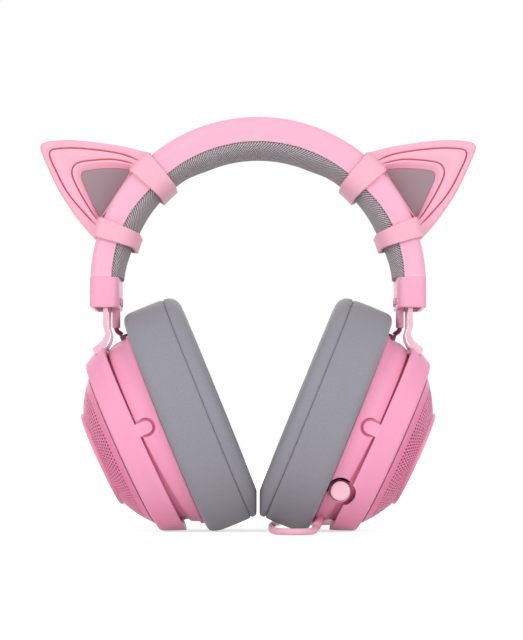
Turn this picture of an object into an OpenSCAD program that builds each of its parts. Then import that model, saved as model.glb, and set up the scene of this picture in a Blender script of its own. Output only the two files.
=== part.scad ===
// Over-ear gaming headset with clip-on cat ears and a retractable microphone.
// It stands on its ear cups: X runs across the head, Y backwards, Z up, floor at z = 0.

/* [Headband] */
// Outer radius of the headband arc
band_r = 72.5; // [70:0.5:90]
// Height of the arc's centre above the floor
band_h = 106.5; // [104:0.5:126]
// Depth of the headband, front to back
band_depth = 32; // [28:0.5:40]
// Radial height of the moulded cover
cover_h = 10; // [9:0.5:12]
// Wall of the moulded cover
cover_wall = 2; // [1.6:0.1:2.4]
// Thickness of the inner liner plate
liner_t = 1.6; // [1.2:0.1:2]
// Thickness of the headband cushion
cushion_t = 5.5; // [4:0.5:9]
// Thickness of the steel spring band
spring_t = 1.2; // [0.8:0.1:1.4]

/* [Slider] */
// Height of the end caps
cap_h = 13.2; // [11:0.1:16]
// Height of the end caps' lower edge above the floor
cap_z = 96; // [96:0.1:104]
// Width of an end cap, across the head
cap_w = 12.5; // [12:0.1:14]
// Thickness of a slider arm
arm_t = 2; // [1.6:0.1:2.4]
// Width of a slider arm, front to back
arm_w = 5.5; // [4.5:0.1:6]
// Distance from the middle of the headband to the middle of each arm
arm_y = 10.75; // [10.5:0.05:11.2]
// How far each cup slides out
slide_travel = 20; // [10:1:21]
// Clearance round each arm in its guide
arm_gap = 0.3; // [0.2:0.05:0.4]

/* [Ear cups] */
// Distance of each cup pivot from the middle of the headset
pivot_x = 46.8; // [46.8:0.1:54]
// Height of the cup pivots
pivot_z = 44.3; // [43:0.1:46]
// Lean of the ear cups at rest
cup_lean = 22.2; // [20:0.1:23]
// Lean of the outer rings
ring_lean = 24.5; // [23:0.1:25.5]
// How far each cup tilts in its ring
cup_tilt = 4; // [2:0.5:4]
// Height of an ear pad
pad_h = 102.4; // [98:0.1:106]
// Width of an ear pad
pad_w = 86; // [80:0.5:92]
// Thickness of an ear pad
pad_t = 25.9; // [20:0.1:26]
// Height of the opening in an ear pad
ear_hole_h = 66; // [56:0.5:70]
// Width of the opening in an ear pad
ear_hole_w = 54; // [46:0.5:58]
// Height of the inner housing
housing_h = 88; // [86:0.5:90]
// Width of the inner housing
housing_w = 77; // [76:0.5:80]
// Wall of the cup mouldings
cup_wall = 2; // [1.6:0.1:2.2]
// Height of the outer ring
ring_h = 85.6; // [84:0.1:88]
// Width of the outer ring
ring_w = 75; // [74:0.1:77]
// Depth of the outer ring
ring_t = 10.6; // [9:0.1:12]
// Radius of the round grille
grille_r = 34.8; // [32:0.1:35.5]
// Radius of the badge disc
badge_r = 20.5; // [16:0.1:22]
// Radius of the pivot pins
pin_r = 2; // [1.6:0.1:2.4]
// Running clearance round the pivot pins
pin_gap = 0.06; // [0.03:0.01:0.1]
// Radius of the speaker
speaker_r = 25; // [20:0.5:25]

/* [Microphone] */
// Radius of the microphone head
mic_r = 4.25; // [3.8:0.05:4.4]
// Length of the microphone head
mic_head_l = 12; // [9:0.5:13]
// Radius of the microphone boom
boom_r = 1.8; // [1.4:0.1:1.8]
// How far the microphone pulls out
mic_travel = 38; // [20:1:38]
// Clearance round the microphone in its port
mic_gap = 0.25; // [0.15:0.05:0.3]

/* [Cat ears] */
// Thickness of the silicone straps
strap_t = 1.5; // [1:0.1:2]
// Clearance between the straps and the headband
strap_gap = 0.3; // [0.2:0.05:0.5]
// Thickness of an ear where it meets the headband
ear_t = 9; // [7:0.5:11]
// Thickness of an ear at its tip
ear_tip_t = 5; // [3:0.5:6]
// Thickness of the panel in each ear's window
panel_t = 3; // [2:0.5:4]

/* [Cord] */
// Diameter of the cord
cord_d = 2.8; // [2.4:0.1:3]
// Radius of the middle of the coil's turns
coil_r = 14.6; // [14:0.1:17]
// Turns side by side in the coil
coil_wide = 3; // [2:1:4]
// Layers of turns in the coil
coil_layers = 4; // [2:1:5]
// Diameter of the plug's pin
plug_d = 3.5; // [2.5:0.5:3.5]

/* [Hidden] */
$fn = 72;
pink = [0.93, 0.55, 0.66];
deep_pink = [0.86, 0.42, 0.56];
grey = [0.56, 0.56, 0.6];
dark = [0.2, 0.2, 0.22];
steel = [0.75, 0.75, 0.78];
big = 300;

// Headband and end caps
cover_in_r = band_r - cover_h;
cavity_r = band_r - cover_wall;
liner_out_r = cover_in_r + liner_t;
cushion_in_r = cover_in_r - cushion_t;
cushion_depth = band_depth - 1;
cavity_y = band_depth / 2 - cover_wall;
cap_top = cap_z + cap_h;
cap_out_x = band_r;
cap_in_x = band_r - cap_w;
cap_depth = band_depth + 0.5;
cap_wall = 1.8;
cap_inner_wall = 1.2;
spring_w = 12;

// Slider arms, straight where they run in the guide, then bent into the ring
arm_x = liner_out_r + 0.5;
stop_h = 2.5;
stop_t = 1;
arm_top = band_h + sqrt(pow(cavity_r - arm_gap, 2) - pow(arm_x + arm_t + stop_t, 2));
guide_z = cap_z + 1.5;
guide_h = 3.5;
bush_x = arm_x - arm_gap - 0.65 - 1.75;
bush_r = 1.75;
bush_z = cap_z - 8;
cable_r = 1;
cable_gap = 0.3;
screw_y = 5;
screw_r = 1;
screw_head_r = 1.6;
screw_head_h = 0.7;
screw_l = 3.5;

// Ear cup, in its own frame: x outboard, z up along the cup, pivot at the origin
pad_mid = -1.3;
pad_back = -6.6;
pad_face = pad_back - pad_t;
pad_end_r = 39;
pad_hole_r = pad_end_r - (pad_h - ear_hole_h) / 2 + 2;
pad_step = [[0, 1.5, 9], [1.5, 4, 5], [4, 25, 0], [25, 25.9, 1.6]];
housing_mid = -2.9;
housing_end_r = 35;
shoulder = -2.5;
housing_back = 2.6;
neck_in = 3.9;
ring_mid = -3.4;
ring_end_r = 33.5;
ring_in = 3.9;
ring_out = ring_in + ring_t;
ring_wall = 2.2;
ring_bevel = 4;
ring_inset = 1.8;
face_t = 2;
round_mid = -3.5;
dome_r = 52;
dome_t = 1.6;
dome_in = ring_out + 1.1 - sqrt(dome_r * dome_r - grille_r * grille_r);
cloth_t = 0.4;
badge_t = 2.8;
badge_seat = dome_in + sqrt(dome_r * dome_r - badge_r * badge_r) - 0.8;
badge_lip = 1.2;
hole_rows = 3;
holes_per_row = 20;
hole_r = 1;
tongue_r = 3.5;
tongue_y = ring_w / 2 - 2.4;
tongue_gap = 0.6;
pin_in_y = 29;
boss_r = 4;
baffle_t = 1.8;
baffle_hole_r = 22;
speaker_t = 2;
magnet_r = 11;
plate_in = housing_back - cup_wall;

// Microphone, in the cup frame
mic_u = -1.3;
mic_w = -29.3;
mic_face_y = -33;
port_r = 5.2;
port_t = 2;
boss_back_y = -16;
guide_l = 6;
boom_end_y = 23.5;

// Cat ears: outline points in X and Z, straps as angles round the headband's arc
ear_outline = [[43.9, 163.1], [59.1, 167.4], [79.9, 170.2], [94, 169.4], [95.8, 167.5],
    [87.9, 149.5], [79.3, 136.1], [70.8, 126], [60, 126], [45, 150]];
panel_outline = [[54.9, 156.6], [76.6, 156.3], [68, 136.7]];
upper_strap = [38.5, 50];
lower_strap = [15.8, 22.8];
ear_tip_x = 96;
blade_r = band_r + strap_gap + 0.4;
panel_r = band_r + strap_gap + strap_t + 0.5;
ear_base_x = 43;

// Cord: straight out of the relief, round on the floor, back under the pad to the coil
cord_route = [[24.6, -22.5, 2.4], [24.2, -28, 1.9], [23.8, -34, 1.6], [23, -41, 1.5],
    [21.4, -47, 1.5], [18.4, -51.5, 1.5], [14.6, -53.2, 1.5], [10.8, -51.6, 1.5],
    [8.2, -47.4, 1.5], [6.8, -41, 1.5], [6.1, -32, 1.5], [5.8, -20, 1.5], [5.8, -6, 1.5],
    [5.9, 8, 1.5], [6.2, 22, 1.5], [6.8, 36, 1.5], [7.8, 49, 1.5], [9, 61, 1.5],
    [10, 72, 1.5], [10.3, 82, 1.5]];
tail_route = [[10.3, 84, 9.8], [10.2, 89, 9.7], [10.4, 93.5, 8.9], [11.4, 97.5, 7],
    [13.2, 101, 4.9], [15.2, 104, 3.7], [16.6, 107, 3.2], [17, 109, 3.2]];
coil_at = [coil_r + coil_wide * cord_d / 2 + 8.9, 84];
coil_w = coil_wide * cord_d;
coil_h = coil_layers * cord_d;
tie_t = 1;
tie_w = 8;
relief_in = [27, -9, 6.6];
relief_r = 2.3;
plug_x = 17;
plug_y = 109;
plug_r = 3.2;
plug_relief_l = 8;
plug_body_l = 15;
plug_pin_l = 14;

// Shared shapes
module on_side(s) {
    if (s > 0) children();
    else mirror([1, 0, 0]) children();
}

module cup_frame(lean) {
    translate([pivot_x, 0, pivot_z]) rotate([0, lean, 0]) children();
}

module above_floor() {
    difference() {
        children();
        translate([-big / 2, -big / 2, -big]) cube([big, big, big]);
    }
}

module rounded(w, h, r) {
    square([w - 2 * r, h], center = true);
    square([w, h - 2 * r], center = true);
    for (i = [-1, 1], j = [-1, 1])
        translate([i * (w / 2 - r), j * (h / 2 - r)]) circle(r = r);
}

// Upright oval of four tangent arcs; er is the radius of its two ends
module oval(w, h, er) {
    a = w / 2;
    b = h / 2;
    side_r = (a * a + pow(b - er, 2) - er * er) / (2 * (a - er));
    meet = (b - er) * side_r / (side_r - er);
    intersection() {
        translate([side_r - a, 0]) circle(r = side_r, $fn = 180);
        translate([a - side_r, 0]) circle(r = side_r, $fn = 180);
        square([2 * a, 2 * meet], center = true);
    }
    for (j = [-1, 1]) translate([0, j * (b - er)]) circle(r = er);
}

// Extrudes an outline drawn in Y and Z from u0 to u1 along X
module slab(u0, u1) {
    translate([u0, 0, 0]) rotate([90, 0, 90]) linear_extrude(u1 - u0) children();
}

module oval_slab(u0, u1, mid, w, h, er) {
    slab(u0, u1) translate([0, mid]) oval(w, h, er);
}

module disc(u0, u1, r, mid = 0) {
    translate([u0, 0, mid]) rotate([0, 90, 0]) cylinder(r = r, h = u1 - u0);
}

// Cylinder along Y between y0 and y1
module rod(y0, y1, r) {
    translate([0, y1, 0]) rotate([90, 0, 0]) cylinder(r = r, h = y1 - y0);
}

// Turns a profile drawn as radius and depth round the headband's axis
module round_band(a0, a1) {
    translate([0, 0, band_h]) rotate([90, 0, 0]) rotate([0, 0, a0])
        rotate_extrude(angle = a1 - a0, $fn = 180) children();
}

module above_caps() {
    difference() {
        children();
        translate([-big / 2, -big / 2, cap_top - big]) cube([big, big, big]);
    }
}

module band_profile(r0, r1, depth, corner) {
    translate([(r0 + r1) / 2, 0]) rounded(r1 - r0, depth, corner);
}

// Cylinder of two radii from point a to point b
module strut(a, b, ra, rb) {
    d = b - a;
    l = norm(d);
    translate(a) rotate([0, acos(d[2] / l), atan2(d[1], d[0])]) cylinder(r1 = ra, r2 = rb, h = l);
}

// Tube along a route: one ring of points at each route point
function heading(p, i) =
    let (a = p[max(i - 1, 0)], b = p[min(i + 1, len(p) - 1)]) (b - a) / norm(b - a);
function ring_at(p, i, r, n) =
    let (t = heading(p, i), s = cross(t, [0, 0, 1]) / norm(cross(t, [0, 0, 1])), v = cross(s, t))
    [for (k = [0 : n - 1]) p[i] + r * (cos(360 * k / n) * s + sin(360 * k / n) * v)];

module tube(p, r, n = 8) {
    m = len(p);
    points = [for (i = [0 : m - 1]) each ring_at(p, i, r, n)];
    walls = [for (i = [0 : m - 2], k = [0 : n - 1])
        let (a = i * n + k, b = i * n + (k + 1) % n) each [[a, b, b + n], [a, b + n, a + n]]];
    near = [for (k = [n - 1 : -1 : 0]) k];
    far = [for (k = [0 : n - 1]) (m - 1) * n + k];
    polyhedron(points = points, faces = concat([near], walls, [far]), convexity = 10);
}

// Headband
module headband_cover() {
    color(pink) above_caps() round_band(0, 180) difference() {
        band_profile(cover_in_r, band_r, band_depth, 3);
        translate([cover_in_r - 1, -cavity_y]) square([cavity_r - cover_in_r + 1, 2 * cavity_y]);
    }
}

module headband_liner() {
    color(dark) above_caps() round_band(0, 180)
        translate([cover_in_r, -cavity_y]) square([liner_t, 2 * cavity_y]);
}

module headband_cushion() {
    color(grey) above_caps() round_band(0, 180)
        band_profile(cushion_in_r, cover_in_r, cushion_depth, 2.5);
}

module spring_band() {
    color(steel) above_caps() round_band(0, 180)
        translate([liner_out_r, -spring_w / 2]) square([spring_t, spring_w]);
}

module cap_outline(out, inn, depth, r) {
    translate([(out + inn) / 2, 0]) rounded(out - inn, depth, r);
}

module end_cap() {
    color(pink) difference() {
        translate([0, 0, cap_z]) linear_extrude(cap_h) cap_outline(cap_out_x, cap_in_x, cap_depth, 3);
        translate([0, 0, cap_z - 1]) linear_extrude(cap_h + 2) cap_cavity();
        bushing_body();
        translate([bush_x, 0, cap_z]) cylinder(r = cable_r + cable_gap, h = cap_h + 1);
        cap_screw_shapes();
    }
}

module cap_cavity() {
    cap_outline(cap_out_x - cap_wall, cap_in_x + cap_inner_wall, cap_depth - 2 * cap_wall, 1.5);
}

module slider_guide() {
    color(dark) difference() {
        translate([0, 0, guide_z]) linear_extrude(guide_h) cap_cavity();
        for (j = [-1, 1])
            translate([arm_x - arm_gap, j * arm_y - arm_w / 2 - arm_gap, guide_z - 1])
                cube([arm_t + 2 * arm_gap, arm_w + 2 * arm_gap, guide_h + 2]);
        bushing_body();
        cap_screw_shapes();
    }
}

module bushing_body() {
    translate([bush_x, 0, bush_z]) cylinder(r = bush_r, h = guide_z + guide_h - bush_z);
}

module cable_bushing() {
    color(pink) difference() {
        bushing_body();
        translate([bush_x, 0, bush_z - 1]) cylinder(r = cable_r + cable_gap, h = big / 4);
    }
}

module cap_screw_shapes() {
    for (j = [-1, 1]) translate([cap_in_x, j * screw_y, guide_z + guide_h / 2]) rotate([0, 90, 0]) {
        cylinder(r = screw_r, h = screw_l);
        translate([0, 0, -screw_head_h]) cylinder(r = screw_head_r, h = screw_head_h);
    }
}

module cap_screws() {
    color(steel) cap_screw_shapes();
}

// Cat ears
module strap(a) {
    round_band(a[0], a[1]) difference() {
        band_profile(cushion_in_r - strap_gap - strap_t, band_r + strap_gap + strap_t,
            cap_depth + 2 * (strap_gap + strap_t), 4);
        band_profile(cushion_in_r - strap_gap, band_r + strap_gap,
            cap_depth + 2 * strap_gap, 3);
    }
}

module ear_blade(points, t, cut_r) {
    difference() {
        rotate([90, 0, 0]) linear_extrude(t, center = true) polygon(points);
        translate([0, 0, band_h]) rotate([90, 0, 0])
            cylinder(r = cut_r, h = 2 * t, center = true, $fn = 180);
    }
}

module cat_ear() {
    color(pink) union() {
        strap(upper_strap);
        strap(lower_strap);
        difference() {
            intersection() {
                ear_blade(ear_outline, ear_t, blade_r);
                linear_extrude(band_h * 2) polygon([[ear_base_x, -ear_t / 2], [ear_tip_x, -ear_tip_t / 2],
                    [ear_tip_x, ear_tip_t / 2], [ear_base_x, ear_t / 2]]);
            }
            ear_blade(panel_outline, ear_t + 2, panel_r);
        }
    }
}

module ear_panel() {
    color(grey) ear_blade(panel_outline, panel_t, panel_r);
}

// Yoke: arms, outer ring, grille and badge
module arm_shape() {
    linear_extrude(arm_w, center = true) polygon([
        [arm_x, arm_top], [arm_x + arm_t + stop_t, arm_top],
        [arm_x + arm_t + stop_t, arm_top - stop_h], [arm_x + arm_t, arm_top - stop_h],
        [arm_x + arm_t, cap_z - 8], [arm_x + arm_t - 1, cap_z - 11.5],
        [arm_x + arm_t + 0.6, cap_z - 14.5], [arm_x + arm_t + 4.4, cap_z - 17.6],
        [arm_x + arm_t + 3.6, cap_z - 20.4], [arm_x + 1.6, cap_z - 18.2],
        [arm_x - 0.6, cap_z - 14], [arm_x - 1, cap_z - 11.5], [arm_x, cap_z - 8]]);
}

module arm_pair() {
    for (j = [-1, 1]) translate([0, j * arm_y, 0]) rotate([90, 0, 0]) arm_shape();
}

module yoke_arms() {
    color(pink) arm_pair();
}

module ring_solid(inset, u0, u1, w) {
    oval_slab(u0, u1, ring_mid, ring_w - 2 * (inset + w), ring_h - 2 * (inset + w),
        ring_end_r - inset - w);
}

// The ring's pivot tongue reaches back over the housing on the front and the rear
module tongues() {
    for (j = [-1, 1]) mirror([0, j < 0 ? 1 : 0, 0]) {
        rod(tongue_y, ring_w / 2, tongue_r);
        translate([0, tongue_y, -tongue_r]) cube([ring_in + 2, ring_w / 2 - tongue_y, 2 * tongue_r]);
    }
}

module mic_swing() {
    for (t = [0 : 2]) rotate([0, -cup_tilt * t / 2, 0]) translate([mic_u, 0, mic_w])
        rod(mic_face_y - 5, boss_back_y + 3, port_r + 0.5);
}

module outer_ring(has_mic) {
    color(deep_pink) difference() {
        above_floor() cup_frame(ring_lean) union() {
            difference() {
                union() {
                    ring_solid(0, ring_in, ring_out - ring_bevel, 0);
                    ring_solid(ring_inset, ring_out - ring_bevel, ring_out, 0);
                }
                ring_solid(ring_inset, ring_in - 1, ring_out - face_t, ring_wall - ring_inset);
                disc(ring_out - face_t - 1, ring_out + 1, grille_r - 3, round_mid);
            }
            tongues();
        }
        arm_pair();
        cup_frame(ring_lean) rod(-ring_w, ring_w, pin_r);
        if (has_mic) cup_frame(cup_lean) mic_swing();
    }
}

// Part of a spherical shell round the cup's axis, from radius 0 to reach
module dome(r, t, reach) {
    translate([dome_in, 0, round_mid]) rotate([0, 90, 0]) rotate_extrude() intersection() {
        difference() {
            circle(r = r, $fn = 120);
            circle(r = r - t, $fn = 120);
        }
        translate([0, ring_out - dome_in]) square([reach, r]);
    }
}

module grille_holes() {
    for (row = [0 : hole_rows - 1], k = [0 : holes_per_row - 1])
        translate([ring_out, 0, round_mid]) rotate([(k + row / 2) * 360 / holes_per_row, 0, 0])
            translate([0, 0, badge_r + 3 + row * 3.6]) rotate([0, 90, 0]) cylinder(r = hole_r, h = 14);
}

module grille() {
    color(deep_pink) cup_frame(ring_lean) difference() {
        union() {
            dome(dome_r, dome_t, grille_r);
            difference() {
                disc(ring_out, ring_out + 1, grille_r, round_mid);
                disc(ring_out - 1, ring_out + 2, grille_r - 2.4, round_mid);
            }
        }
        disc(badge_seat, badge_seat + 10, badge_r, round_mid);
        disc(ring_out, badge_seat + 10, badge_r - badge_lip, round_mid);
        grille_holes();
    }
}

module grille_cloth() {
    color(dark) cup_frame(ring_lean) difference() {
        dome(dome_r - dome_t, cloth_t, grille_r - 2.4);
        disc(ring_out - 1, ring_out + 20, badge_r - badge_lip, round_mid);
    }
}

module badge_disc() {
    color(deep_pink) cup_frame(ring_lean) union() {
        disc(badge_seat, badge_seat + badge_t - 0.6, badge_r, round_mid);
        disc(badge_seat, badge_seat + badge_t, badge_r - 0.6, round_mid);
        disc(badge_seat - 1.2, badge_seat, badge_r - badge_lip, round_mid);
    }
}

module pivot_pins() {
    color(steel) cup_frame(ring_lean) for (j = [-1, 1]) mirror([0, j < 0 ? 1 : 0, 0])
        rod(pin_in_y, ring_w / 2 - 0.2, pin_r);
}

module crossover_cable() {
    low = [bush_x - 2.8, 0, bush_z - 2.6];
    bend = [bush_x, 0, bush_z - 1.2];
    color(deep_pink) {
        translate(bend) cylinder(r = cable_r, h = cap_top - 0.2 - bend[2]);
        translate(bend) sphere(r = cable_r + 0.1);
        strut(low, bend, cable_r, cable_r);
    }
}

// Ear cup
module housing_solid(inset, u0, u1) {
    oval_slab(u0, u1, housing_mid, housing_w - 2 * inset, housing_h - 2 * inset,
        housing_end_r - inset);
}

module inner_housing(has_mic) {
    color(deep_pink) difference() {
        above_floor() cup_frame(cup_lean) difference() {
            union() {
                difference() {
                    union() {
                        housing_solid(0, pad_back, shoulder);
                        housing_solid(neck_in, shoulder, housing_back);
                    }
                    housing_solid(cup_wall, pad_back - 1, shoulder - cup_wall);
                    housing_solid(neck_in + cup_wall, shoulder - cup_wall - 1, plate_in);
                }
                for (j = [-1, 1]) mirror([0, j < 0 ? 1 : 0, 0])
                    rod(pin_in_y, housing_w / 2 - neck_in - 0.5, boss_r);
                if (has_mic) translate([mic_u, 0, mic_w]) rod(mic_face_y + port_t, boss_back_y, port_r);
            }
            for (j = [-1, 1]) mirror([0, j < 0 ? 1 : 0, 0])
                rod(tongue_y - 0.3, ring_w, tongue_r + tongue_gap);
            rod(-ring_w, ring_w, pin_r + pin_gap);
            disc(pad_back + baffle_t, plate_in, boss_r + 0.1);
            if (has_mic) translate([mic_u, 0, mic_w]) {
                rod(mic_face_y - 2, mic_face_y + port_t, port_r);
                rod(mic_face_y, boss_back_y + guide_l, mic_r + mic_gap);
                rod(mic_face_y, boom_end_y + 0.5, boom_r + mic_gap);
            }
        }
        if (has_mic) relief_body();
        cup_frame(cup_lean) grommet_body();
    }
}

module driver_baffle(has_mic) {
    color(dark) difference() {
        above_floor() cup_frame(cup_lean) difference() {
            housing_solid(cup_wall, pad_back, pad_back + baffle_t);
            disc(pad_back - 1, pad_back + baffle_t + 1, baffle_hole_r);
            grommet_body();
            if (has_mic) translate([mic_u, 0, mic_w])
                rod(mic_face_y - 1, boss_back_y + guide_l, port_r + 0.2);
        }
        if (has_mic) relief_body();
    }
}

module speaker_frame() {
    color(dark) cup_frame(cup_lean) difference() {
        disc(pad_back + baffle_t, pad_back + baffle_t + speaker_t, speaker_r);
        disc(pad_back + baffle_t - 1, pad_back + baffle_t + speaker_t - 0.8, speaker_r - 3);
        disc(pad_back, housing_back, magnet_r - 2);
    }
}

module speaker_diaphragm() {
    color(steel) cup_frame(cup_lean) disc(pad_back + baffle_t, pad_back + baffle_t + 0.5, speaker_r - 3);
}

module speaker_magnet() {
    color(steel) cup_frame(cup_lean) union() {
        disc(pad_back + baffle_t + speaker_t, plate_in - 0.3, magnet_r);
        disc(pad_back + baffle_t + 0.9, plate_in - 0.3, magnet_r - 2);
    }
}

module speaker_cloth() {
    color(dark) cup_frame(cup_lean)
        oval_slab(pad_back - 0.5, pad_back, pad_mid, ear_hole_w, ear_hole_h, pad_hole_r);
}

module ear_pad() {
    color(grey) above_floor() cup_frame(cup_lean) difference() {
        union() for (s = pad_step)
            oval_slab(pad_face + s[0], s[1] > pad_t - 1 ? pad_back : pad_face + s[1], pad_mid,
                pad_w - 2 * s[2], pad_h - 2 * s[2], pad_end_r - s[2]);
        oval_slab(pad_face - 1, pad_back + 1, pad_mid, ear_hole_w, ear_hole_h, pad_hole_r);
    }
}

module grommet_body() {
    translate([-4.3, 0, housing_mid + housing_h / 2 - cup_wall - 1])
        cylinder(r = 1.8, h = cup_wall + 2);
}

module cable_grommet() {
    color(dark) cup_frame(cup_lean) grommet_body();
}

// Microphone
module mic_port_ring() {
    color(deep_pink) cup_frame(cup_lean) translate([mic_u, 0, mic_w]) difference() {
        rod(mic_face_y, mic_face_y + port_t, port_r);
        rod(mic_face_y - 1, mic_face_y + port_t + 1, mic_r + mic_gap);
    }
}

module mic_guide() {
    color(dark) cup_frame(cup_lean) translate([mic_u, 0, mic_w]) difference() {
        rod(boss_back_y - 2, boss_back_y + guide_l - 2, mic_r + mic_gap);
        rod(mic_face_y, boom_end_y, boom_r + mic_gap);
    }
}

module mic_board() {
    color([0.1, 0.35, 0.2]) cup_frame(cup_lean) translate([plate_in - 1.2, -9, 15]) cube([1.2, 18, 14]);
}

module mic_boom() {
    color(dark) cup_frame(cup_lean) translate([mic_u, 0, mic_w])
        rod(mic_face_y + mic_head_l, boom_end_y, boom_r);
}

module mic_head() {
    color(deep_pink) cup_frame(cup_lean) translate([mic_u, 0, mic_w])
        rod(mic_face_y, mic_face_y + mic_head_l, mic_r);
}

// Cord and plug
module relief_body() {
    strut(relief_in, cord_route[0], relief_r, cord_d / 2 + 0.4);
}

module cord_relief() {
    color(pink) relief_body();
}

module cord() {
    color(deep_pink) tube(cord_route, cord_d / 2);
}

module cord_tail() {
    color(deep_pink) tube(tail_route, cord_d / 2);
}

module coil_profile(grow) {
    translate([coil_r - coil_w / 2 - grow, 0]) square([coil_w + 2 * grow, coil_h + grow]);
}

module cord_coil() {
    color(deep_pink) translate([coil_at[0], coil_at[1], 0]) rotate_extrude() coil_profile(0);
}

module cord_tie() {
    color(dark) translate([coil_at[0], coil_at[1], 0]) difference() {
        translate([-tie_w / 2, coil_r - coil_w / 2 - tie_t, 0])
            cube([tie_w, coil_w + 2 * tie_t, coil_h + tie_t]);
        translate([-tie_w, coil_r - coil_w / 2 + 0.6, 0.8])
            cube([2 * tie_w, coil_w - 1.2, coil_h - 0.8]);
    }
}

module plug_body() {
    color(deep_pink) translate([plug_x, 0, plug_r]) union() {
        translate([0, plug_y, 0]) rotate([-90, 0, 0])
            cylinder(r1 = cord_d / 2 + 0.3, r2 = plug_r - 0.7, h = plug_relief_l);
        rod(plug_y + plug_relief_l, plug_y + plug_relief_l + plug_body_l, plug_r);
    }
}

module plug_tip() {
    tip_y = plug_y + plug_relief_l + plug_body_l;
    color("gold") translate([plug_x, 0, plug_r]) union() {
        rod(tip_y, tip_y + plug_pin_l - 2, plug_d / 2);
        translate([0, tip_y + plug_pin_l - 2, 0]) rotate([-90, 0, 0])
            cylinder(r1 = plug_d / 2, r2 = plug_d / 4, h = 2);
    }
}

headband_cover();
headband_liner();
headband_cushion();
spring_band();
on_side(1) end_cap();  // end_cap_right
on_side(-1) end_cap();  // end_cap_left
on_side(1) slider_guide();  // slider_guide_right
on_side(-1) slider_guide();  // slider_guide_left
on_side(1) cable_bushing();  // cable_bushing_right
on_side(-1) cable_bushing();  // cable_bushing_left
on_side(1) cap_screws();  // cap_screws_right
on_side(-1) cap_screws();  // cap_screws_left
on_side(1) cat_ear();  // cat_ear_right
on_side(-1) cat_ear();  // cat_ear_left
on_side(1) ear_panel();  // ear_panel_right
on_side(-1) ear_panel();  // ear_panel_left
on_side(1) yoke_arms();  // yoke_arms_right
on_side(-1) yoke_arms();  // yoke_arms_left
on_side(1) outer_ring(true);  // outer_ring_right
on_side(-1) outer_ring(false);  // outer_ring_left
on_side(1) grille();  // grille_right
on_side(-1) grille();  // grille_left
on_side(1) grille_cloth();  // grille_cloth_right
on_side(-1) grille_cloth();  // grille_cloth_left
on_side(1) badge_disc();  // badge_disc_right
on_side(-1) badge_disc();  // badge_disc_left
on_side(1) pivot_pins();  // pivot_pins_right
on_side(-1) pivot_pins();  // pivot_pins_left
on_side(1) crossover_cable();  // crossover_cable_right
on_side(-1) crossover_cable();  // crossover_cable_left
on_side(1) inner_housing(true);  // inner_housing_right
on_side(-1) inner_housing(false);  // inner_housing_left
on_side(1) driver_baffle(true);  // driver_baffle_right
on_side(-1) driver_baffle(false);  // driver_baffle_left
on_side(1) speaker_frame();  // speaker_frame_right
on_side(-1) speaker_frame();  // speaker_frame_left
on_side(1) speaker_diaphragm();  // speaker_diaphragm_right
on_side(-1) speaker_diaphragm();  // speaker_diaphragm_left
on_side(1) speaker_magnet();  // speaker_magnet_right
on_side(-1) speaker_magnet();  // speaker_magnet_left
on_side(1) speaker_cloth();  // speaker_cloth_right
on_side(-1) speaker_cloth();  // speaker_cloth_left
on_side(1) ear_pad();  // ear_pad_right
on_side(-1) ear_pad();  // ear_pad_left
on_side(1) cable_grommet();  // cable_grommet_right
on_side(-1) cable_grommet();  // cable_grommet_left
mic_port_ring();
mic_guide();
mic_board();
mic_boom();
mic_head();
cord_relief();
cord();
cord_coil();
cord_tie();
cord_tail();
plug_body();
plug_tip();
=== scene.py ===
import math

import bmesh
import bpy
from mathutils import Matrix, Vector
from mathutils.geometry import interpolate_bezier


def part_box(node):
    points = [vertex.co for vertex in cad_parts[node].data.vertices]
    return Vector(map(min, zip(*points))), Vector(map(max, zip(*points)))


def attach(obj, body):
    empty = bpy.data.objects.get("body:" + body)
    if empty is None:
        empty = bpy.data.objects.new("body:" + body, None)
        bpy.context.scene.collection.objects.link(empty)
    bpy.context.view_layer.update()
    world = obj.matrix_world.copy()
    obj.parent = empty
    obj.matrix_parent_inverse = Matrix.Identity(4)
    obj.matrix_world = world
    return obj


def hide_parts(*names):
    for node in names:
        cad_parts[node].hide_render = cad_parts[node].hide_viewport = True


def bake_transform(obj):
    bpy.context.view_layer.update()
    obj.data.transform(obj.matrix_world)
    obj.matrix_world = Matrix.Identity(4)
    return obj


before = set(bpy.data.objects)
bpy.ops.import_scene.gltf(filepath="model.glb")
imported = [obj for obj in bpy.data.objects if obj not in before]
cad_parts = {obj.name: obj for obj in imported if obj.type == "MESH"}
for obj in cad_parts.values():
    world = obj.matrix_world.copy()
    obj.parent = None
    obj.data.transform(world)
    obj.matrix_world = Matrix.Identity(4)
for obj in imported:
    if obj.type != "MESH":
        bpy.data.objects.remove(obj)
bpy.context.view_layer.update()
scene = bpy.context.scene
scene.view_settings.view_transform = "Standard"


# Camera: level with the lower part of the cups, a little under the middle of the headset,
# and tipped up slightly, far enough away that the cups hardly foreshorten.
camera_data = bpy.data.cameras.new("camera")
camera = bpy.data.objects.new("camera", camera_data)
scene.collection.objects.link(camera)
scene.camera = camera
VIEW_AWAY, VIEW_HIGH = 0.9, 0.2789
VIEW_SIDE, VIEW_LEVEL, AIM_LEVEL = 0.0015, 0.035, 0.0915
SENSOR = 36
camera_data.lens = SENSOR * VIEW_AWAY / VIEW_HIGH
camera.location = (VIEW_SIDE, -VIEW_AWAY, VIEW_LEVEL)
camera_aim = Vector((VIEW_SIDE, 0, AIM_LEVEL))
camera.rotation_euler = (camera_aim - camera.location).to_track_quat("-Z", "Y").to_euler()


# Studio: a white floor and a white surround, which the camera, reflections and transmission
# see at full white while they light the object less. Two soft lamps stand in front, a weak
# one overhead and a weak one behind.
def srgb(red, green, blue):
    def linear(value):
        value /= 255
        return value / 12.92 if value <= 0.04045 else ((value + 0.055) / 1.055) ** 2.4

    return (linear(red), linear(green), linear(blue), 1)


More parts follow.
